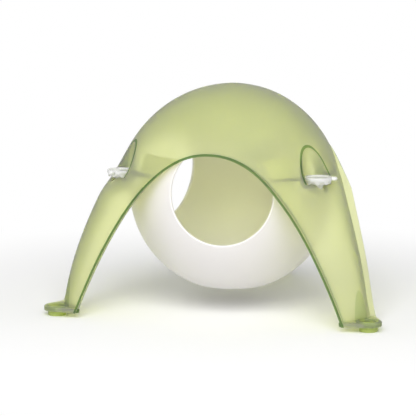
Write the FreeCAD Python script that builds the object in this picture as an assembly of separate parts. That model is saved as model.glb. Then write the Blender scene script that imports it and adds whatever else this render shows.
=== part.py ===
import FreeCAD, Part
import math
import os

# A hideout for a hamster: a frosted green dome on three legs, with a white pod hanging inside it.
# Millimetres, +Z up. The origin is on the floor, on the dome's own upright axis.
# One of the three archways faces -Y, and the legs stand at -30, 90 and 210 degrees.

# Dome shell
HEIGHT = 125.0
SHELL_WALL = 1.8
CAP_RADIUS = 61.9
CAP_LEVEL = 58.5
LEG_ANGLES = {"front_right": -30.0, "rear": 90.0, "front_left": 210.0}
ARCH_ANGLES = (-90.0, 30.0, 150.0)
SHOULDER_LEVEL = 78.0
SHOULDER_RADIUS = 68.1
FOOT_RADIUS = 96.6
LEG_BOW = 1.65
RIDGE_RISE = 0.075
RIDGE_SHARPNESS = 2.5
SHOULDER_POWER = 1.5
LEG_BOTTOM = 3.0
HOLLOW_DEPTH = 39.0
HOLLOW_REACH = 58.0
HOLLOW_POWER = 1.3
FOOT_FLATTENING = 0.6
FOOT_FLAT_LEVEL = 20.0
DENT_DEPTH = 5.4
DENT_LEVEL = 79.0
DENT_REACH = 6.0
DENT_SHARPNESS = 12.0

# Net of points that the smooth shell is drawn through
NET_COLUMNS = 48
CAP_ROWS = 9
LEG_ROWS = 10
LEG_ROW_STEP = 8.6

# Archways between the legs, with a thin collar round each
ARCH_TOP = 91.4
ARCH_HALF_WIDTH = 74.0
ARCH_POWER = 2.12
ARCH_POINTS = 9
ARCH_OVERRUN = 1.05
TUNNEL_START = 20.0
TUNNEL_LENGTH = 90.0
COLLAR_WALL = 1.2
COLLAR_LENGTH = 4.3
COLLAR_OPENING = 11.0
COLLAR_CLOSING = 1.2
COLLAR_WIDEST = 72.0
COLLAR_ROOT = 40.0
COLLAR_REACH = 30.0

# Shelf, lock pocket and foot of each leg
SHELF_TOP = 79.8
SHELF_THICK = 1.8
SHELF_INNER_RADIUS = 58.2
SHELF_ROOT = 45.0
SHELF_SPAN = 40.0
POCKET_FROM_AXIS = 63.9
POCKET_DEPTH = 7.8
POCKET_HALF_WIDTH = 9.8
POCKET_STEP = 0.2
POCKET_STEP_LEVEL = 80.2
POCKET_WALL = 1.2
POCKET_FLOOR = 75.7
BOSS_RADIUS = 5.0
BOSS_GAP = 0.5
POCKET_TUBE_TOP = 102.0
FLOOR_THICK = 1.8
EYE_FROM_AXIS = 100.5
EYE_RADIUS = 7.1
EYE_HEIGHT = 2.7
EYE_ROUNDING = 1.2
EYE_HOLE_RADIUS = 4.5
TOE_THICK = 2.2
TOE_ROOT = 91.0
TOE_HALF_WIDTH = 13.4
TOE_STRAIGHT = 2.6

# Pod
POD_RADIUS = 57.2
POD_WALL = 2.0
POD_LEVEL = 66.2
POD_BOTTOM = 13.0
POD_RIM = 88.5
POD_ROUNDING = 0.6
POD_TURN = 7.0
DOOR_RADIUS = 27.5
DOOR_LEVEL = 70.4
DOOR_START = 20.0
NOTCH_HALF_WIDTH = 9.6
NOTCH_ROOT = 45.0
NOTCH_LENGTH = 30.0
EAR_TOP = 70.6
EAR_THICK = 2.0
EAR_RADIUS = 4.6
EAR_ROOT = 50.0

# Lock knobs, each turned from pointing straight out
KNOB_TURN = 38.0
KNOB_RADIUS = 7.5
KNOB_HEIGHT = 3.6
KNOB_GAP = 0.15
FLANGE_THICK = 1.7
SKIRT_RADIUS = 6.9
RIM_WIDTH = 1.1
RIM_HEIGHT = 0.7
SCALLOPS = 8
SCALLOP_RADIUS = 1.6
SCALLOP_DEPTH = 1.2
EYELET_FROM_AXIS = 8.4
EYELET_RADIUS = 1.9
EYELET_HOLE_RADIUS = 0.8
EYELET_THICK = 1.7
EYELET_NECK_LENGTH = 3.0
EYELET_NECK_WIDTH = 3.0
SHAFT_RADIUS = 3.0
SHAFT_CLEARANCE = 0.08
BAR_HALF_LENGTH = 4.4
BAR_WIDTH = 3.2
BAR_THICK = 1.8
BAR_GAP = 0.2
BAR_SLACK = 0.4
UNLOCK_TURN = -38.0

# Foot plugs
PLUG_RADIUS = 5.0
STEM_RADIUS = 4.45
STEM_TOP = 4.0
PAD_CHAMFER = 0.4
DISH_RIM = 1.0
DISH_DEPTH = 0.6

# How far a cutting tool runs past what it cuts, and how an edge is told apart by its points
SPARE = 1.0
NEAR = 0.02
EDGE_SAMPLES = 7

X_AXIS = FreeCAD.Vector(1, 0, 0)
Y_AXIS = FreeCAD.Vector(0, 1, 0)
Z_AXIS = FreeCAD.Vector(0, 0, 1)
ORIGIN = FreeCAD.Vector(0, 0, 0)


def cap_radius(level):
    """Radius of the plain dome at a level: a quarter of an ellipse, upright below its widest."""
    if level < CAP_LEVEL:
        return CAP_RADIUS
    share = (level - CAP_LEVEL) / (HEIGHT - CAP_LEVEL)
    return CAP_RADIUS * math.sqrt(max(0.0, 1.0 - share ** 2))


def ridge_radius(level):
    """Radius along the middle of a leg."""
    if level >= SHOULDER_LEVEL:
        below_arch = max(0.0, (ARCH_TOP - level) / (ARCH_TOP - SHOULDER_LEVEL))
        swell = RIDGE_RISE * (1.0 + below_arch ** SHOULDER_POWER)
        return cap_radius(level) * (1.0 + swell)
    share = level / SHOULDER_LEVEL
    return FOOT_RADIUS - (FOOT_RADIUS - SHOULDER_RADIUS) * abs(share) ** LEG_BOW


def crown_depth(level):
    """How far the surface falls from the middle of a leg to the middle of an archway."""
    if level >= SHOULDER_LEVEL:
        return ridge_radius(level) - cap_radius(level)
    shoulder = SHOULDER_RADIUS - cap_radius(SHOULDER_LEVEL)
    deeper = HOLLOW_DEPTH * ((SHOULDER_LEVEL - level) / HOLLOW_REACH) ** HOLLOW_POWER
    flatter = 1.0 - FOOT_FLATTENING * max(0.0, 1.0 - level / FOOT_FLAT_LEVEL) ** 2
    return (shoulder + deeper) * flatter


def outer_point(angle, level):
    """A point of the dome's outer surface: full along the legs, but flatter where the knobs sit."""
    turn = math.radians(angle)
    from_leg = math.radians(angle - LEG_ANGLES["front_right"])
    near_leg = (1.0 + math.cos(3.0 * from_leg)) / 2.0
    radius = ridge_radius(level) - crown_depth(level) * (1.0 - near_leg ** RIDGE_SHARPNESS)
    near_knob = math.exp(-((level - DENT_LEVEL) / DENT_REACH) ** 2)
    radius -= DENT_DEPTH * near_leg ** DENT_SHARPNESS * near_knob
    return FreeCAD.Vector(radius * math.cos(turn), radius * math.sin(turn), level)


def shell_point(angle, level, inset):
    """A point of the surface that lies inset below the outer one."""
    point = outer_point(angle, level)
    if inset == 0.0:
        return point
    small_turn = 0.5
    small_rise = 0.1
    top = min(level + small_rise / 2.0, HEIGHT)
    across = outer_point(angle + small_turn, level) - outer_point(angle - small_turn, level)
    along = outer_point(angle, top) - outer_point(angle, top - small_rise)
    normal = across.cross(along)
    return point - normal.normalize() * inset


def station_levels():
    """Levels of the rows of the dome's net: even steps over the cap, then even steps down the legs.

    The first and the last step each hold one more row at a third of the step from their end.
    """
    shoulder_angle = math.acos((SHOULDER_LEVEL - CAP_LEVEL) / (HEIGHT - CAP_LEVEL))
    last = CAP_ROWS + LEG_ROWS
    third = 1.0 / 3.0
    rows = []
    for place in [0.0, third] + list(range(1, last)) + [last - third, last]:
        if place <= CAP_ROWS:
            angle = shoulder_angle * place / CAP_ROWS
            rows.append(CAP_LEVEL + (HEIGHT - CAP_LEVEL) * math.cos(angle))
        else:
            rows.append(SHOULDER_LEVEL - (place - CAP_ROWS) * LEG_ROW_STEP)
    return rows


def net_rows(inset):
    """Rows of points on the dome's surface, from its top down to below the floor."""
    levels = station_levels()
    start = LEG_ANGLES["front_right"]
    rows = []
    for row, level in enumerate(levels):
        angles = [start + 360.0 * column / NET_COLUMNS for column in range(NET_COLUMNS)]
        if row == 0:
            ring = [FreeCAD.Vector(0, 0, HEIGHT - inset)] * NET_COLUMNS
        else:
            ring = [shell_point(angle, level, inset) for angle in angles]
        if row == 1:
            ring = [FreeCAD.Vector(point.x, point.y, HEIGHT - inset) for point in ring]
        if row == len(levels) - 1:
            ring = [FreeCAD.Vector(point.x, point.y, level) for point in ring]
        rows.append(ring)
    return rows


def spread_net(rows):
    """Control points for the rows: a smooth surface runs inside its net by a sixth of its bend."""
    poles = []
    for row, ring in enumerate(rows):
        moved = []
        for column, point in enumerate(ring):
            bend = ring[column - 1] - point * 2.0 + ring[(column + 1) % NET_COLUMNS]
            if 3 <= row <= len(rows) - 4:
                bend = bend + rows[row - 1][column] - point * 2.0 + rows[row + 1][column]
            moved.append(point - bend * (1.0 / 6.0) if row > 1 else point)
        poles.append(moved)
    return poles


def dome_solid(inset):
    """The dome as a closed solid down to below the floor, shrunk by inset."""
    poles = spread_net(net_rows(inset))
    by_column = [[ring[column] for ring in poles] for column in range(NET_COLUMNS)]
    degree = 3
    spans = len(poles) - degree
    surface = Part.BSplineSurface()
    surface.buildFromPolesMultsKnots(
        by_column, [1] * (NET_COLUMNS + 1), [degree + 1] + [1] * (spans - 1) + [degree + 1],
        list(range(NET_COLUMNS + 1)), list(range(spans + 1)), True, False, degree, degree)
    skin = surface.toShape()
    edge = surface.vIso(spans).toShape()
    base = Part.Face(Part.Wire([edge]))
    shell = Part.makeShell([skin, base])
    shell.sewShape()
    solid = Part.makeSolid(shell)
    if solid.Volume < 0:
        solid.reverse()
    return solid


def turned(shape, angle):
    """A copy turned about the dome's axis."""
    copy = shape.copy()
    copy.rotate(ORIGIN, Z_AXIS, angle)
    return copy


def arch_outline(grow):
    """Closed face of an archway in the YZ plane, seen along X, made wider all round by grow."""
    half = []
    for step in range(ARCH_POINTS + 1):
        width = ARCH_HALF_WIDTH * ARCH_OVERRUN * step / ARCH_POINTS
        fall = (width / ARCH_HALF_WIDTH) ** ARCH_POWER
        level = ARCH_TOP - (ARCH_TOP - LEG_BOTTOM) * fall
        slope = (ARCH_TOP - LEG_BOTTOM) * ARCH_POWER / ARCH_HALF_WIDTH
        slope = slope * (width / ARCH_HALF_WIDTH) ** (ARCH_POWER - 1.0)
        size = math.hypot(slope, 1.0)
        half.append((width + grow * slope / size, level + grow / size))
    points = [FreeCAD.Vector(0, -width, level) for width, level in reversed(half)]
    points += [FreeCAD.Vector(0, width, level) for width, level in half[1:]]
    curve = Part.BSplineCurve()
    curve.interpolate(points)
    closing = Part.LineSegment(points[-1], points[0])
    return Part.Face(Part.Wire([curve.toShape(), closing.toShape()]))


def arch_tunnel(grow, start, length):
    """The archway's outline as a bar along X."""
    bar = arch_outline(grow).extrude(FreeCAD.Vector(length, 0, 0))
    bar.translate(FreeCAD.Vector(start, 0, 0))
    return bar


def toe_plate():
    """Flat toe of one leg along X, drawn in to the round eye."""
    corner = FreeCAD.Vector(TOE_ROOT + TOE_STRAIGHT, TOE_HALF_WIDTH, LEG_BOTTOM)
    away = FreeCAD.Vector(EYE_FROM_AXIS, 0, LEG_BOTTOM) - corner
    reach = math.acos(EYE_RADIUS / away.Length)
    bearing = math.atan2(-away.y, -away.x) - reach
    touch = FreeCAD.Vector(
        EYE_FROM_AXIS + EYE_RADIUS * math.cos(bearing), EYE_RADIUS * math.sin(bearing), LEG_BOTTOM)
    tip = FreeCAD.Vector(EYE_FROM_AXIS + EYE_RADIUS, 0, LEG_BOTTOM)
    root = FreeCAD.Vector(TOE_ROOT, TOE_HALF_WIDTH, LEG_BOTTOM)

    def mirrored(point):
        return FreeCAD.Vector(point.x, -point.y, point.z)

    edges = [
        Part.LineSegment(root, corner).toShape(),
        Part.LineSegment(corner, touch).toShape(),
        Part.Arc(touch, tip, mirrored(touch)).toShape(),
        Part.LineSegment(mirrored(touch), mirrored(corner)).toShape(),
        Part.LineSegment(mirrored(corner), mirrored(root)).toShape(),
        Part.LineSegment(mirrored(root), root).toShape(),
    ]
    plate = Part.Face(Part.Wire(edges)).extrude(Z_AXIS * TOE_THICK)
    eye_place = FreeCAD.Vector(EYE_FROM_AXIS, 0, LEG_BOTTOM)
    eye = Part.makeCylinder(EYE_RADIUS, EYE_HEIGHT, eye_place)
    eye = eye.cut(Part.makeCylinder(EYE_HOLE_RADIUS, EYE_HEIGHT, eye_place))
    top = [edge for edge in eye.Edges if edge.BoundBox.ZMin > LEG_BOTTOM + EYE_HEIGHT / 2.0]
    eye = eye.makeFillet(EYE_ROUNDING, top)
    return plate.fuse(eye)


def pocket_cylinder(radius, low, high):
    """An upright cylinder on the pocket's axis, for the leg along X."""
    return Part.makeCylinder(radius, high - low, FreeCAD.Vector(POCKET_FROM_AXIS, 0, low))


def pocket_bar(grow, low, high):
    """The pocket's outline as an upright bar, for the leg along X: an ellipse, wider than it is deep."""
    middle = FreeCAD.Vector(POCKET_FROM_AXIS, 0, low)
    side = middle + FreeCAD.Vector(0, POCKET_HALF_WIDTH + grow, 0)
    front = middle + FreeCAD.Vector(POCKET_DEPTH + grow, 0, 0)
    outline = Part.Wire([Part.Ellipse(side, front, middle).toShape()])
    return Part.Face(outline).extrude(Z_AXIS * (high - low))


def key_hole(low, high):
    """Round hole with a slot, through which the knob's bar passes at the unlocked turn."""
    hole = pocket_cylinder(SHAFT_RADIUS + SHAFT_CLEARANCE, low, high)
    length = 2.0 * (BAR_HALF_LENGTH + BAR_SLACK)
    width = BAR_WIDTH + 2.0 * BAR_SLACK
    corner = FreeCAD.Vector(POCKET_FROM_AXIS - length / 2.0, -width / 2.0, low)
    slot = Part.makeBox(length, width, high - low, corner)
    slot.rotate(FreeCAD.Vector(POCKET_FROM_AXIS, 0, low), Z_AXIS, UNLOCK_TURN)
    return hole.fuse(slot)


def shelf_and_cup(outer):
    """Inside one leg along X: the level shelf and the cup that holds the knob, trimmed to the shell."""
    corner = FreeCAD.Vector(SHELF_ROOT, -SHELF_SPAN, SHELF_TOP - SHELF_THICK)
    shelf = Part.makeBox(SHELF_SPAN, 2.0 * SHELF_SPAN, SHELF_THICK, corner)
    shelf = shelf.cut(Part.makeCylinder(SHELF_INNER_RADIUS, HEIGHT))
    cup = pocket_bar(POCKET_WALL, POCKET_FLOOR - FLOOR_THICK, POCKET_TUBE_TOP)
    boss = pocket_cylinder(BOSS_RADIUS, EAR_TOP + BOSS_GAP, POCKET_FLOOR - FLOOR_THICK)
    insert = shelf.fuse(cup).fuse(boss).common(outer)
    for side in (60.0, -60.0):
        insert = insert.cut(turned(arch_tunnel(COLLAR_WALL, TUNNEL_START, TUNNEL_LENGTH), side))
    return insert


def dome():
    """Frosted green shell: cap, three legs, collars, shelves, cups and toes in one moulding."""
    outer = dome_solid(0.0)
    inner = dome_solid(SHELL_WALL)
    body = outer.cut(inner)
    below = Part.makeCylinder(HEIGHT, HEIGHT, FreeCAD.Vector(0, 0, LEG_BOTTOM - HEIGHT))
    body = body.cut(below)
    tunnel = arch_tunnel(0.0, TUNNEL_START, TUNNEL_LENGTH)
    for angle in ARCH_ANGLES:
        body = body.cut(turned(tunnel, angle))
    collar = arch_tunnel(COLLAR_WALL, COLLAR_ROOT, COLLAR_REACH).cut(tunnel)
    hinge = FreeCAD.Vector(cap_radius(ARCH_TOP), 0, ARCH_TOP)
    widest = FreeCAD.Vector(cap_radius(COLLAR_WIDEST), 0, COLLAR_WIDEST)
    for angle in ARCH_ANGLES:
        grown = turned(outer, -angle)
        opened = grown.copy()
        grown.translate(FreeCAD.Vector(COLLAR_LENGTH, 0, 0))
        grown.rotate(widest, Y_AXIS, COLLAR_CLOSING)
        opened.rotate(hinge, Y_AXIS, -COLLAR_OPENING)
        trimmed = collar.common(grown).common(opened).cut(turned(inner, -angle)).cut(below)
        body = body.fuse(turned(trimmed, angle))
    for angle in LEG_ANGLES.values():
        body = body.fuse(turned(shelf_and_cup(turned(outer, -angle)), angle))
        body = body.fuse(turned(toe_plate(), angle))
    for angle in LEG_ANGLES.values():
        pocket = pocket_bar(0.0, POCKET_STEP_LEVEL, HEIGHT)
        well = pocket_bar(-POCKET_STEP, POCKET_FLOOR, POCKET_STEP_LEVEL + SPARE)
        hole = key_hole(EAR_TOP, POCKET_FLOOR + SPARE)
        eye_height = LEG_BOTTOM + EYE_HEIGHT + SPARE
        eye = Part.makeCylinder(EYE_HOLE_RADIUS, eye_height, FreeCAD.Vector(EYE_FROM_AXIS, 0, 0))
        for cutter in (pocket, well, hole, eye):
            body = body.cut(turned(cutter, angle))
    return body


def on_doorway(edge):
    """Whether an edge of the bowl runs round a doorway on the inner or the outer face of its wall."""
    for angle in ARCH_ANGLES:
        turn = math.radians(angle + POD_TURN)
        outward = FreeCAD.Vector(math.cos(turn), math.sin(turn), 0)
        points = [point - Z_AXIS * DOOR_LEVEL for point in edge.discretize(EDGE_SAMPLES)]
        ahead = [point.dot(outward) > 0.0 for point in points]
        strays = [abs((point - outward * point.dot(outward)).Length - DOOR_RADIUS) for point in points]
        depths = [(point + Z_AXIS * (DOOR_LEVEL - POD_LEVEL)).Length for point in points]
        if all(ahead) and max(strays) < NEAR and max(depths) - min(depths) < NEAR:
            return True
    return False


def pod():
    """White bowl cut from a ball, with three round doorways and an ear in a notch under each shelf."""
    centre = FreeCAD.Vector(0, 0, POD_LEVEL)
    outside = Part.makeSphere(POD_RADIUS, centre)
    inside = Part.makeSphere(POD_RADIUS - POD_WALL, centre)
    size = 4.0 * POD_RADIUS
    low_corner = FreeCAD.Vector(-size / 2.0, -size / 2.0, POD_BOTTOM)
    outside = outside.common(Part.makeBox(size, size, POD_RIM - POD_BOTTOM, low_corner))
    inside = inside.common(Part.makeBox(size, size, size, low_corner + Z_AXIS * POD_WALL))
    bowl = outside.cut(inside)
    for angle in ARCH_ANGLES:
        door = Part.makeCylinder(
            DOOR_RADIUS, POD_RADIUS, FreeCAD.Vector(DOOR_START, 0, DOOR_LEVEL), X_AXIS)
        bowl = bowl.cut(turned(door, angle + POD_TURN))
    bowl = bowl.makeFillet(POD_ROUNDING, [edge for edge in bowl.Edges if on_doorway(edge)])
    for angle in LEG_ANGLES.values():
        notch = Part.makeBox(
            NOTCH_LENGTH, 2.0 * NOTCH_HALF_WIDTH, POD_RADIUS,
            FreeCAD.Vector(NOTCH_ROOT, -NOTCH_HALF_WIDTH, EAR_TOP))
        bowl = bowl.cut(turned(notch, angle))
        bowl = bowl.fuse(turned(ear(inside), angle))
    return bowl


def ear(inside):
    """One lock ear along X: a flat tab with a round end and the knob's key hole."""
    low = EAR_TOP - EAR_THICK
    corner = FreeCAD.Vector(EAR_ROOT, -EAR_RADIUS, low)
    tab = Part.makeBox(POCKET_FROM_AXIS - EAR_ROOT, 2.0 * EAR_RADIUS, EAR_THICK, corner)
    tab = tab.fuse(pocket_cylinder(EAR_RADIUS, low, EAR_TOP)).cut(inside)
    return tab.cut(key_hole(low - SPARE, EAR_TOP + SPARE))


def knob_cap(low, high):
    """The knob's round cap: a wide flange on a skirt, scalloped below and dished inside its rim."""
    flange_low = high - FLANGE_THICK
    cap = pocket_cylinder(KNOB_RADIUS, flange_low, high)
    cap = cap.fuse(pocket_cylinder(SKIRT_RADIUS, low, flange_low))
    cap = cap.cut(pocket_cylinder(KNOB_RADIUS - RIM_WIDTH, high - RIM_HEIGHT, high))
    centre = FreeCAD.Vector(POCKET_FROM_AXIS, 0, low)
    core = pocket_cylinder(SKIRT_RADIUS - SCALLOP_DEPTH, low - SCALLOP_RADIUS, low + SCALLOP_RADIUS)
    for step in range(SCALLOPS):
        scallop = Part.makeCylinder(SCALLOP_RADIUS, 2.0 * KNOB_RADIUS, centre, X_AXIS)
        scallop.rotate(centre, Z_AXIS, 360.0 * (step + 0.5) / SCALLOPS)
        cap = cap.cut(scallop.cut(core))
    return cap


def knob_eyelet(high):
    """Small round eyelet on a neck at the knob's rim."""
    low = high - EYELET_THICK
    centre = FreeCAD.Vector(POCKET_FROM_AXIS + EYELET_FROM_AXIS, 0, low)
    corner = centre - FreeCAD.Vector(EYELET_NECK_LENGTH, EYELET_NECK_WIDTH / 2.0, 0)
    neck = Part.makeBox(EYELET_NECK_LENGTH, EYELET_NECK_WIDTH, EYELET_THICK, corner)
    eyelet = Part.makeCylinder(EYELET_RADIUS, EYELET_THICK, centre).fuse(neck)
    eyelet = eyelet.cut(pocket_cylinder(KNOB_RADIUS - RIM_WIDTH, low, high))
    return eyelet.cut(Part.makeCylinder(EYELET_HOLE_RADIUS, EYELET_THICK, centre))


def lock_knob(leg):
    """Clear twist lock: cap with an eyelet, a shaft and the bar that clamps the pod's ear."""
    low = POCKET_FLOOR + KNOB_GAP
    high = low + KNOB_HEIGHT
    bar_top = EAR_TOP - EAR_THICK - BAR_GAP
    bar_low = bar_top - BAR_THICK
    shaft = pocket_cylinder(SHAFT_RADIUS, bar_low, high - FLANGE_THICK)
    corner = FreeCAD.Vector(POCKET_FROM_AXIS - BAR_HALF_LENGTH, -BAR_WIDTH / 2.0, bar_low)
    bar = Part.makeBox(2.0 * BAR_HALF_LENGTH, BAR_WIDTH, BAR_THICK, corner)
    bar = bar.common(pocket_cylinder(BAR_HALF_LENGTH, bar_low, bar_top))
    knob = knob_cap(low, high).fuse(knob_eyelet(high)).fuse(shaft).fuse(bar)
    knob.rotate(FreeCAD.Vector(POCKET_FROM_AXIS, 0, 0), Z_AXIS, KNOB_TURN)
    return turned(knob, LEG_ANGLES[leg])


def foot_plug(leg):
    """Soft plug pressed up into a toe's eye: the object stands on its flat round pad."""
    pad = Part.makeCylinder(PLUG_RADIUS, LEG_BOTTOM, FreeCAD.Vector(EYE_FROM_AXIS, 0, 0))
    bottom = [edge for edge in pad.Edges if edge.BoundBox.ZMax < PAD_CHAMFER]
    pad = pad.makeChamfer(PAD_CHAMFER, bottom)
    stem_place = FreeCAD.Vector(EYE_FROM_AXIS, 0, LEG_BOTTOM)
    stem = Part.makeCylinder(STEM_RADIUS, STEM_TOP - LEG_BOTTOM, stem_place)
    dish_place = FreeCAD.Vector(EYE_FROM_AXIS, 0, STEM_TOP - DISH_DEPTH)
    dish = Part.makeCylinder(STEM_RADIUS - DISH_RIM, DISH_DEPTH, dish_place)
    return turned(pad.fuse(stem).cut(dish), LEG_ANGLES[leg])


def save(name, shape):
    """Write one piece as a STEP file and print what it measures."""
    shape = shape.removeSplitter()
    shape.exportStep(os.path.join("parts", name + ".step"))
    box = shape.BoundBox
    print(name, "valid", shape.isValid(), "solids", len(shape.Solids), "volume", round(shape.Volume, 1),
          "z", round(box.ZMin, 2), round(box.ZMax, 2))


os.makedirs("parts", exist_ok=True)
save("dome", dome())
save("pod", pod())
for leg_name in LEG_ANGLES:
    save("lock_knob_" + leg_name, lock_knob(leg_name))
    save("foot_plug_" + leg_name, foot_plug(leg_name))
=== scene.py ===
import bmesh
import math
import bpy
from mathutils import Matrix, Vector


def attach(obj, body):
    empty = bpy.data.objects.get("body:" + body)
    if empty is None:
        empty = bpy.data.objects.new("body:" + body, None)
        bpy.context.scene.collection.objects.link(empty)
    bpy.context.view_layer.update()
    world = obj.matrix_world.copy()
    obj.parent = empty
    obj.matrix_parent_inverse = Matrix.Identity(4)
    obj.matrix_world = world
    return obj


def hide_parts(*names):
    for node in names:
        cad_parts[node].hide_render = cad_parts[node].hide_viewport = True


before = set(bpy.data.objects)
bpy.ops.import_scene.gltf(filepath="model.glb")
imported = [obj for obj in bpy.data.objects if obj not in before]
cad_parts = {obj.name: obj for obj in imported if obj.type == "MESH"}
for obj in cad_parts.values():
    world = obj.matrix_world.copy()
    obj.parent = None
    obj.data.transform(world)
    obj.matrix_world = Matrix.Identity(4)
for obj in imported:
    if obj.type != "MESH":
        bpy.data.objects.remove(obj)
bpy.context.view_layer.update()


# The dome is one frosted moss green moulding with a 1.8 mm wall: cap, three legs, arch collars,
# shelves and lock cups. Light passes through the wall, so flat stretches look pale, and its cut
# edges, where the light has run along inside the wall, look deep green. That deep green is painted
# shade in the colour: along the arch collars, round the lock pocket lips and round the toe eyes.
class Shade:
    """One output of a node in a material. Sums and products of shades add the nodes that work them out."""

    def __init__(self, tree, socket=None):
        self.tree = tree
        self.socket = socket

    def node(self, kind, settings=None, sockets=None, out=0):
        """Add a node: its settings first, then a value or a link for each socket that is named."""
        made = self.tree.nodes.new("ShaderNode" + kind)
        for name, value in (settings or {}).items():
            setattr(made, name, value)
        for name, value in (sockets or {}).items():
            if isinstance(value, Shade):
                self.tree.links.new(value.socket, made.inputs[name])
            else:
                made.inputs[name].default_value = value
        return Shade(self.tree, made.outputs[out])

    def maths(self, operation, *values):
        return self.node("Math", {"operation": operation}, dict(enumerate(values)))

    def __add__(self, other):
        return self.maths("ADD", self, other)

    __radd__ = __add__

    def __mul__(self, other):
        return self.maths("MULTIPLY", self, other)

    __rmul__ = __mul__

    def __sub__(self, other):
        return self.maths("SUBTRACT", self, other)

    def __rsub__(self, other):
        return self.maths("SUBTRACT", other, self)

    def __truediv__(self, other):
        return self.maths("DIVIDE", self, other)

    def __pow__(self, other):
        return self.maths("POWER", self, other)

    def __abs__(self):
        return self.maths("ABSOLUTE", self)

    def larger(self, other):
        return self.maths("MAXIMUM", self, other)

    def between(self, low, high):
        """0 below low, 1 above high and a smooth step in between."""
        settings = {"interpolation_type": "SMOOTHSTEP"}
        return self.node("MapRange", settings, {"Value": self, "From Min": low, "From Max": high})

    def parts(self):
        """The x, y and z of a place or a direction."""
        split = self.node("SeparateXYZ", {}, {"Vector": self})
        return [Shade(self.tree, output) for output in split.socket.node.outputs]

    def colours(self, at_zero, at_one):
        """Blend of two colours, with this shade as the share of the second. The blend's colour sockets
        share their names with its number sockets, so they go by their places in its lists."""
        return self.node("Mix", {"data_type": "RGBA"}, {0: self, 6: at_zero, 7: at_one}, out=2)


def new_material(name):
    """An empty material and a shade to start from."""
    material = bpy.data.materials.new(name)
    material.use_nodes = True
    material.node_tree.nodes.clear()
    return material, Shade(material.node_tree)


def wear_shader(material, surface, volume=None):
    """Join a finished surface, and a volume where there is one, to the material's output."""
    output = material.node_tree.nodes.new("ShaderNodeOutputMaterial")
    material.node_tree.links.new(surface.socket, output.inputs["Surface"])
    if volume:
        material.node_tree.links.new(volume.socket, output.inputs["Volume"])


def turned(x, y, angle):
    """How far a place lies out along a direction in the floor's plane, and how far across it."""
    turn = math.radians(angle)
    return x * math.cos(turn) + y * math.sin(turn), y * math.cos(turn) - x * math.sin(turn)


leg_angles = {"front_right": -30.0, "rear": 90.0, "front_left": 210.0}
arch_angles = (-90.0, 30.0, 150.0)
arch_top = 0.0914
leg_bottom = 0.003
arch_half_width = 0.074
arch_power = 2.12
pocket_from_axis = 0.0639
pocket_depth = 0.0078
pocket_half_width = 0.0098
pocket_floor = 0.0757
lip_starts = (0.0001, 0.0002)
lip_ends = (0.0010, 0.0012)
collar_wall = 0.0012
collar_facing = (0.2, 0.4)
inside_dome = 0.02
eye_from_axis = 0.1005
eye_radius = 0.0071
collar_fade = 0.0001
eye_fade = 0.0005
inner_fade = 0.001
# The painted shade: its strength round the toe eyes, its strength along the cut edges, and its deep green.
painted_toe_shade_strength = 0.4
painted_edge_shade_strength = 0.85
painted_edge_shade_green = (0.10, 0.26, 0.07, 1.0)

green, start = new_material("frosted_moss_green")
place = start.node("TexCoord", out="Object")
facing = start.node("TexCoord", out="Normal")
x, y, z = place.parts()
normal_x, normal_y = facing.parts()[:2]
# Painted shade: a deep green mask along the cut edges of the arch collars.
painted_edge_shade = None
for angle in arch_angles:
    out, across = turned(x, y, angle)
    share = abs(across) / arch_half_width
    above = z - (arch_top - (arch_top - leg_bottom) * share ** arch_power)
    slope = share ** (arch_power - 1.0) * ((arch_top - leg_bottom) * arch_power / arch_half_width)
    from_edge = abs(above) / (slope * slope + 1.0) ** 0.5
    facing_out = turned(normal_x, normal_y, angle)[0]
    near = 1.0 - from_edge.between(collar_wall, collar_wall + collar_fade)
    near = near * facing_out.between(*collar_facing)
    near = near * out.between(inside_dome, inside_dome + inner_fade)
    painted_edge_shade = near if painted_edge_shade is None else painted_edge_shade.larger(near)
# More painted shade: a thin deep green line round the lip of each lock pocket, and a lighter patch round
# each toe eye.
for angle in leg_angles.values():
    out, across = turned(x, y, angle)
    share = ((out - pocket_from_axis) / pocket_depth) ** 2.0 + (across / pocket_half_width) ** 2.0
    beyond = (share ** 0.5 - 1.0) * pocket_depth
    ring = beyond.between(*lip_starts) * (1.0 - beyond.between(*lip_ends))
    painted_edge_shade = painted_edge_shade.larger(ring * z.between(pocket_floor, pocket_floor + inner_fade))
    # Painted shade round the toe eye, where the plug sits in its recess.
    from_eye = ((out - eye_from_axis) ** 2.0 + across * across) ** 0.5
    toe = 1.0 - from_eye.between(eye_radius, eye_radius + eye_fade)
    painted_edge_shade = painted_edge_shade.larger(toe * painted_toe_shade_strength)
cloud = start.node("TexNoise", {}, {"Vector": place, "Scale": 22.0, "Detail": 3.0})
skin = cloud.colours((0.97, 0.98, 0.72, 1.0), (0.98, 0.99, 0.76, 1.0))
# The painted edge shade is mixed into the skin colour here.
colour = (painted_edge_shade * painted_edge_shade_strength).colours(skin, painted_edge_shade_green)
grain = start.node("TexNoise", {}, {"Vector": place, "Scale": 1400.0, "Detail": 2.0})
frost = start.node("Bump", {}, {"Strength": 0.12, "Distance": 0.0002, "Height": grain})
body = start.node("BsdfPrincipled", {"subsurface_method": "RANDOM_WALK"}, {
    "Base Color": colour, "Roughness": cloud * 0.1 + 0.36, "IOR": 1.15,
    "Transmission Weight": 0.76, "Subsurface Weight": 1.0,
    "Subsurface Radius": (1.0, 1.0, 1.0), "Subsurface Scale": 0.004, "Normal": frost})
depth = start.node("VolumeAbsorption", {}, {"Color": (0.68, 0.73, 0.0, 1.0), "Density": 460.0})
wear_shader(green, body, depth)
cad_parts["dome"].data.materials[0] = green


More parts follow.
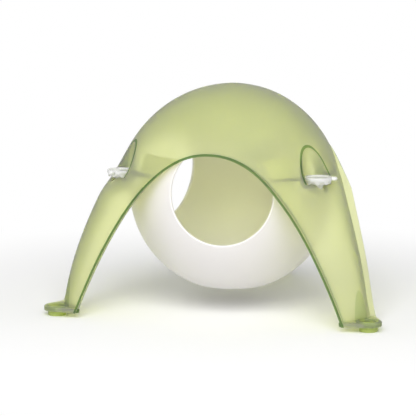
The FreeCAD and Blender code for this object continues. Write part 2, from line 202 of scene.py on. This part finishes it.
# The pod is a milky white bowl with a flat bottom and three round doorways. It hangs under the dome
# by three ears, and its satin wall is thick enough to hide what is inside.
white, start = new_material("milky_white")
place = start.node("TexCoord", out="Object")
cloud = start.node("TexNoise", {}, {"Vector": place, "Scale": 30.0, "Detail": 4.0})
grain = start.node("TexNoise", {}, {"Vector": place, "Scale": 900.0, "Detail": 3.0})
satin = start.node("Bump", {}, {"Strength": 0.06, "Distance": 0.0002, "Height": grain})
body = start.node("BsdfPrincipled", {"subsurface_method": "RANDOM_WALK"}, {
    "Base Color": cloud.colours((0.77, 0.75, 0.745, 1.0), (0.80, 0.78, 0.775, 1.0)),
    "Roughness": cloud * 0.12 + 0.34, "IOR": 1.49, "Subsurface Weight": 1.0,
    "Subsurface Radius": (1.0, 1.0, 1.0), "Subsurface Scale": 0.0012, "Normal": satin})
wear_shader(white, body)
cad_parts["pod"].data.materials[0] = white


# Three clear twist locks hold the pod's ears up against the lock cups. Each is one moulding: a round
# cap with a dished top, a scalloped skirt for the fingers and an eyelet, on a shaft whose bar turns
# under the ear. They all stand turned 38 degrees, which is the locked end of their travel.
def start_piece(name):
    """Name the new primitive and open it for editing with nothing selected."""
    piece = bpy.context.object
    piece.name = name
    piece.data.name = name
    bpy.ops.object.mode_set(mode="EDIT")
    bpy.ops.mesh.select_all(action="DESELECT")
    return piece


def pick_faces(test):
    """Select the faces whose middle and normal pass a test, and nothing else."""
    bpy.ops.mesh.select_mode(type="FACE")
    bpy.ops.mesh.select_all(action="DESELECT")
    mesh = bmesh.from_edit_mesh(bpy.context.edit_object.data)
    for face in mesh.faces:
        face.select_set(test(face.calc_center_median(), face.normal))
    bmesh.update_edit_mesh(bpy.context.edit_object.data)


def pick_points(test):
    """Select the points whose place passes a test, and nothing else."""
    bpy.ops.mesh.select_mode(type="VERT")
    bpy.ops.mesh.select_all(action="DESELECT")
    mesh = bmesh.from_edit_mesh(bpy.context.edit_object.data)
    for point in mesh.verts:
        point.select_set(test(point.co))
    mesh.select_flush_mode()
    bmesh.update_edit_mesh(bpy.context.edit_object.data)


def push(rise):
    """Extrude the selected faces straight up, or down where rise is negative."""
    bpy.ops.mesh.extrude_region_move(TRANSFORM_OT_translate={"value": (0, 0, rise)})


sharp_angle = math.radians(40.0)


def finish_piece(piece, others, soften):
    """Weld the other solids on, round the sharp edges and shade the curved faces smooth."""
    bpy.ops.object.mode_set(mode="OBJECT")
    bpy.ops.object.select_all(action="DESELECT")
    bpy.context.view_layer.objects.active = piece
    piece.select_set(True)
    for other in others:
        weld = piece.modifiers.new("weld", "BOOLEAN")
        weld.operation = "UNION"
        weld.solver = "EXACT"
        weld.object = other
        bpy.ops.object.modifier_apply(modifier=weld.name)
        bpy.data.objects.remove(other)
    rounding = piece.modifiers.new("rounding", "BEVEL")
    rounding.width = soften
    rounding.segments = 2
    rounding.limit_method = "ANGLE"
    rounding.angle_limit = sharp_angle
    bpy.ops.object.modifier_apply(modifier=rounding.name)
    bpy.ops.object.shade_smooth_by_angle(angle=sharp_angle)


def placed_copy(piece, name, matrix):
    """A copy with its own mesh, with its place worked into the mesh."""
    copy = piece.copy()
    copy.data = piece.data.copy()
    copy.name = name
    copy.data.name = name
    copy.data.transform(matrix)
    bpy.context.collection.objects.link(copy)
    return copy


knob_turn = 38.0
knob_low = 0.07585
knob_top = 0.07945
knob_radius = 0.0075
flange_thick = 0.0017
skirt_radius = 0.0069
rim_width = 0.0011
rim_height = 0.0007
scallops = 8
scallop_radius = 0.0016
scallop_depth = 0.0012
knob_sides = 96
eyelet_from_axis = 0.0084
eyelet_middle = 0.0013
eyelet_half_width = 0.0006
eyelet_thick = 0.0017
neck_size = (0.0016, 0.0030, 0.0014)
shaft_radius = 0.003
bar_low = 0.0666
bar_top = 0.0684
bar_half_length = 0.0044
bar_half_width = 0.0016
knob_softening = 0.0002
hair = 0.0001
nearly_level = 0.9

bpy.ops.object.select_all(action="DESELECT")
bpy.ops.mesh.primitive_torus_add(major_radius=eyelet_middle, minor_radius=eyelet_half_width,
                                 major_segments=40, minor_segments=16,
                                 location=(eyelet_from_axis, 0, knob_top - eyelet_thick / 2))
eyelet = start_piece("eyelet")
bpy.ops.mesh.select_all(action="SELECT")
bpy.ops.transform.resize(value=(1, 1, eyelet_thick / 2 / eyelet_half_width))
bpy.ops.object.mode_set(mode="OBJECT")
bpy.ops.mesh.primitive_cube_add(size=1.0, scale=neck_size,
                                location=(knob_radius, 0, knob_top - eyelet_thick / 2))
neck = start_piece("neck")
bpy.ops.mesh.select_all(action="SELECT")
bpy.ops.mesh.bevel(offset=knob_softening, segments=2, affect="EDGES")
bpy.ops.object.mode_set(mode="OBJECT")
bpy.ops.mesh.primitive_cylinder_add(vertices=48, radius=bar_half_length, depth=bar_top - bar_low,
                                    location=(0, 0, (bar_top + bar_low) / 2))
bar = start_piece("bar")
for side in (1, -1):
    bpy.ops.mesh.select_all(action="SELECT")
    bpy.ops.mesh.bisect(plane_co=(0, side * bar_half_width, 0), plane_no=(0, side, 0),
                        use_fill=True, clear_outer=True)
bpy.ops.object.mode_set(mode="OBJECT")

bpy.ops.mesh.primitive_cylinder_add(vertices=knob_sides, radius=knob_radius, depth=flange_thick,
                                    location=(0, 0, knob_top - flange_thick / 2))
knob = start_piece("lock_knob")
pick_faces(lambda middle, normal: normal.z > nearly_level)
bpy.ops.mesh.inset(thickness=rim_width)
push(-rim_height)
pick_faces(lambda middle, normal: normal.z < -nearly_level)
bpy.ops.mesh.inset(thickness=knob_radius - skirt_radius)
push(knob_low - knob_top + flange_thick)
bpy.ops.mesh.inset(thickness=scallop_depth)
bpy.ops.mesh.inset(thickness=skirt_radius - scallop_depth - shaft_radius)
push(bar_top - knob_low)
step_angle = 2.0 * math.pi / knob_sides
for step in range(int(scallop_radius / skirt_radius / step_angle) + 1):
    reach = skirt_radius * step * step_angle
    rise = math.sqrt(scallop_radius ** 2 - reach ** 2)

    def in_scallop(point):
        """Whether a point of the skirt's lower edge lies step sides from the middle of a scallop."""
        on_edge = abs(math.hypot(point.x, point.y) - skirt_radius) < hair and point.z < knob_low + hair
        turn = math.atan2(point.y, point.x) / step_angle
        spacing = knob_sides / scallops
        from_middle = abs((turn + spacing) % spacing - spacing / 2)
        return on_edge and abs(from_middle - step) < 0.5

    pick_points(in_scallop)
    bpy.ops.transform.translate(value=(0, 0, rise))
finish_piece(knob, (eyelet, neck, bar), knob_softening)

clear, start = new_material("clear_plastic")
place = start.node("TexCoord", out="Object")
cloud = start.node("TexNoise", {}, {"Vector": place, "Scale": 260.0, "Detail": 3.0})
flow = start.node("Bump", {}, {"Strength": 0.15, "Distance": 0.0002, "Height": cloud})
body = start.node("BsdfPrincipled", {}, {
    "Base Color": (0.97, 0.97, 0.97, 1.0), "Roughness": cloud * 0.14 + 0.06, "IOR": 1.49,
    "Transmission Weight": 0.45, "Normal": flow})
wear_shader(clear, body)
knob.data.materials.append(clear)
for leg, angle in leg_angles.items():
    upright = Matrix.Rotation(math.radians(angle), 4, "Z")
    outward = Matrix.Translation((pocket_from_axis, 0, 0))
    own_turn = Matrix.Rotation(math.radians(knob_turn), 4, "Z")
    piece = placed_copy(knob, "twist_lock_" + leg, upright @ outward @ own_turn)
    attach(piece, "knob_" + leg)
    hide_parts("lock_knob_" + leg)
bpy.data.objects.remove(knob)


# Three soft yellow-green plugs are pressed up into the eyes of the toes, and the hideout stands on
# their round pads. Each has a shallow dish in its top and a tread ring under its pad.
pad_radius = 0.005
pad_thick = 0.003
stem_radius = 0.00445
stem_top = 0.004
dish_rim = 0.001
dish_depth = 0.0006
tread_width = 0.0012
tread_height = 0.0005
plug_softening = 0.00035

bpy.ops.object.select_all(action="DESELECT")
bpy.ops.mesh.primitive_cylinder_add(vertices=64, radius=pad_radius, depth=pad_thick,
                                    location=(0, 0, pad_thick / 2))
plug = start_piece("foot_plug")
pick_faces(lambda middle, normal: normal.z > nearly_level)
bpy.ops.mesh.inset(thickness=pad_radius - stem_radius)
push(stem_top - pad_thick)
bpy.ops.mesh.inset(thickness=dish_rim)
push(-dish_depth)
pick_faces(lambda middle, normal: normal.z < -nearly_level)
bpy.ops.mesh.inset(thickness=tread_width)
push(tread_height)
finish_piece(plug, (), plug_softening)

lime, start = new_material("lime_rubber")
place = start.node("TexCoord", out="Object")
cloud = start.node("TexNoise", {}, {"Vector": place, "Scale": 180.0, "Detail": 4.0})
grain = start.node("TexNoise", {}, {"Vector": place, "Scale": 2200.0, "Detail": 2.0})
matt = start.node("Bump", {}, {"Strength": 0.2, "Distance": 0.0001, "Height": grain})
body = start.node("BsdfPrincipled", {}, {
    "Base Color": cloud.colours((0.34, 0.42, 0.10, 1.0), (0.42, 0.50, 0.14, 1.0)),
    "Roughness": cloud * 0.2 + 0.45, "IOR": 1.49, "Normal": matt})
wear_shader(lime, body)
plug.data.materials.append(lime)
for leg, angle in leg_angles.items():
    upright = Matrix.Rotation(math.radians(angle), 4, "Z")
    piece = placed_copy(plug, "soft_foot_" + leg, upright @ Matrix.Translation((eye_from_axis, 0, 0)))
    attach(piece, "shell")
    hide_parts("foot_plug_" + leg)
bpy.data.objects.remove(plug)


# The stage is a sheet of white paper under the object, which fades into a white studio round it.
floor_size = 6.0
floor_white = (0.96, 0.96, 0.96, 1.0)
floor_grey = (0.90, 0.90, 0.90, 1.0)
fade_from = 0.09
fade_to = 0.28
through_share = 0.45
ambient = 0.5


def seen(shade):
    """How far a ray shows the stage: 1 from the camera or off gloss, less through clear plastic."""
    path = shade.tree.nodes.new("ShaderNodeLightPath")
    camera_ray, glossy, through = [Shade(shade.tree, path.outputs[name]) for name in
                                   ("Is Camera Ray", "Is Glossy Ray", "Is Transmission Ray")]
    return camera_ray.larger(glossy).larger(through * through_share)


bpy.ops.mesh.primitive_plane_add(size=floor_size, location=(0, 0, 0))
floor = bpy.context.object
floor.name = "floor"
paper, start = new_material("white_paper")
shown = seen(start)
place = start.node("TexCoord", out="Object")
from_middle = start.node("VectorMath", {"operation": "LENGTH"}, {"Vector": place}, out="Value")
tone = shown.colours(floor_grey, floor_white)
sheet = start.node("BsdfDiffuse", {}, {"Color": tone})
haze = start.node("Emission", {}, {"Color": (1.0, 1.0, 1.0, 1.0), "Strength": 1.0})
share = shown * from_middle.between(fade_from, fade_to)
wear_shader(paper, start.node("MixShader", {}, {0: share, 1: sheet, 2: haze}))
floor.data.materials.append(paper)

world = bpy.data.worlds.new("studio")
bpy.context.scene.world = world
world.use_nodes = True
start = Shade(world.node_tree)
background = world.node_tree.nodes["Background"]
background.inputs["Color"].default_value = (1.0, 1.0, 1.0, 1.0)
level = ambient + (1.0 - ambient) * seen(start)
world.node_tree.links.new(level.socket, background.inputs["Strength"])


# One wide square lamp stands in front, a little to the right and high up, and faces the middle of
# the object.
middle = Vector((0, 0, 0.06))
data = bpy.data.lights.new("front", "AREA")
data.shape = "SQUARE"
data.size = 1.0
data.energy = 17.0
lamp = bpy.data.objects.new("front", data)
bpy.context.collection.objects.link(lamp)
lamp.location = (0.2, -1.1, 0.90)
lamp.rotation_mode = "QUATERNION"
lamp.rotation_quaternion = (middle - lamp.location).to_track_quat("-Z", "Y")


# The camera looks from a little right of the front archway and from a little above. It is set so
# that the middle of the object falls on middle_pixel, counted from the upper left of the picture.
view_azimuth = math.radians(14.15)
view_elevation = math.radians(9.5)
frame_size = 416.0
focal_pixels = 2416.0
camera_distance = 1.349
middle_pixel = (232.3, 199.0)
back = Vector((math.sin(view_azimuth) * math.cos(view_elevation),
               -math.cos(view_azimuth) * math.cos(view_elevation), math.sin(view_elevation)))
right = Vector((math.cos(view_azimuth), math.sin(view_azimuth), 0.0))
up = back.cross(right)
data = bpy.data.cameras.new("camera")
data.sensor_width = 36.0
data.lens = focal_pixels / frame_size * data.sensor_width
data.clip_end = 50.0
camera = bpy.data.objects.new("camera", data)
bpy.context.collection.objects.link(camera)
per_pixel = camera_distance / focal_pixels
camera.location = (middle + back * camera_distance
                   - right * (middle_pixel[0] - frame_size / 2) * per_pixel
                   + up * (middle_pixel[1] - frame_size / 2) * per_pixel)
camera.rotation_mode = "QUATERNION"
camera.rotation_quaternion = (-back).to_track_quat("-Z", "Y")
bpy.context.scene.camera = camera
bpy.context.scene.view_settings.view_transform = "Standard"
